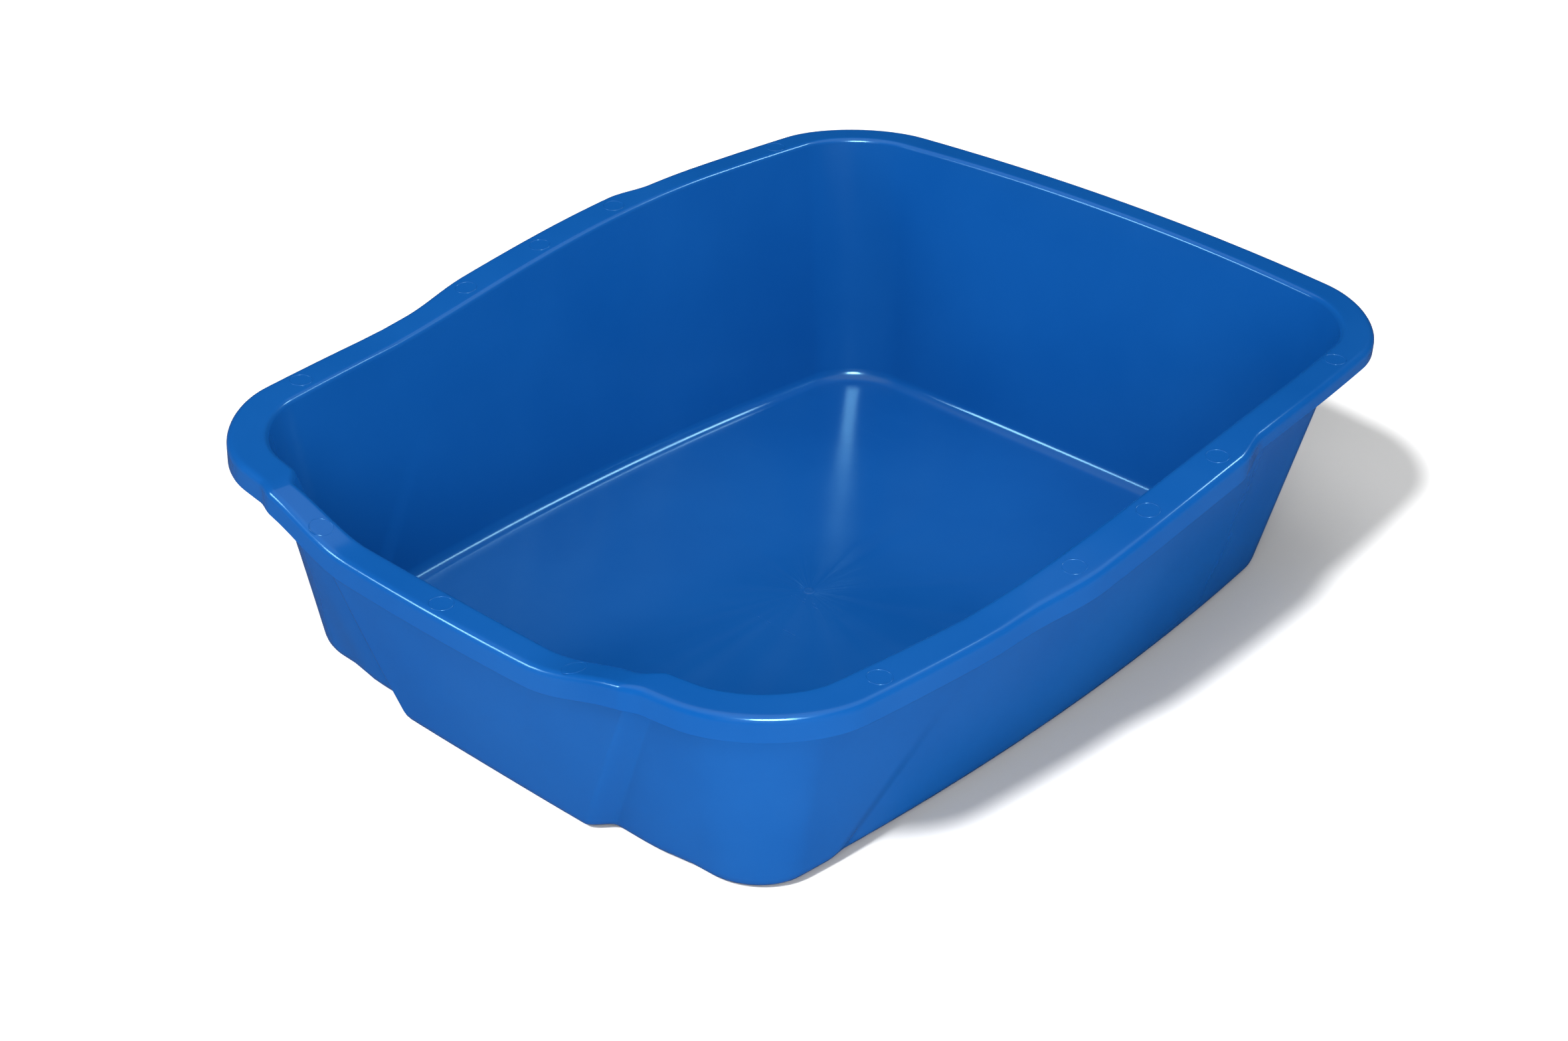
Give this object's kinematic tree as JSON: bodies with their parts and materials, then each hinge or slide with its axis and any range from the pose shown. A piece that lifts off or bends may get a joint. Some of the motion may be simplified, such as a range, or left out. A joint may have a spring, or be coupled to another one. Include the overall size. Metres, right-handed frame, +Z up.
{
  "type": "utility pan",
  "caption": "Open one-piece moulded plastic pan with leaning walls, a flat rim with a turned-down skirt, a grip along each side and a low bay in the front.",
  "frame": {"origin": "on the ground, under the middle of the floor and of the rim", "axes": "+X across the pan to its right, +Y from the low front bay to the high back, +Z up"},
  "size_m": [0.382, 0.48, 0.1315],
  "materials": {
    "pan_plastic": "smooth blue polypropylene, glossy, with faint moulding marks"
  },
  "bodies": {
    "root": {"pan": "pan_plastic"}
  },
  "joints": []
}
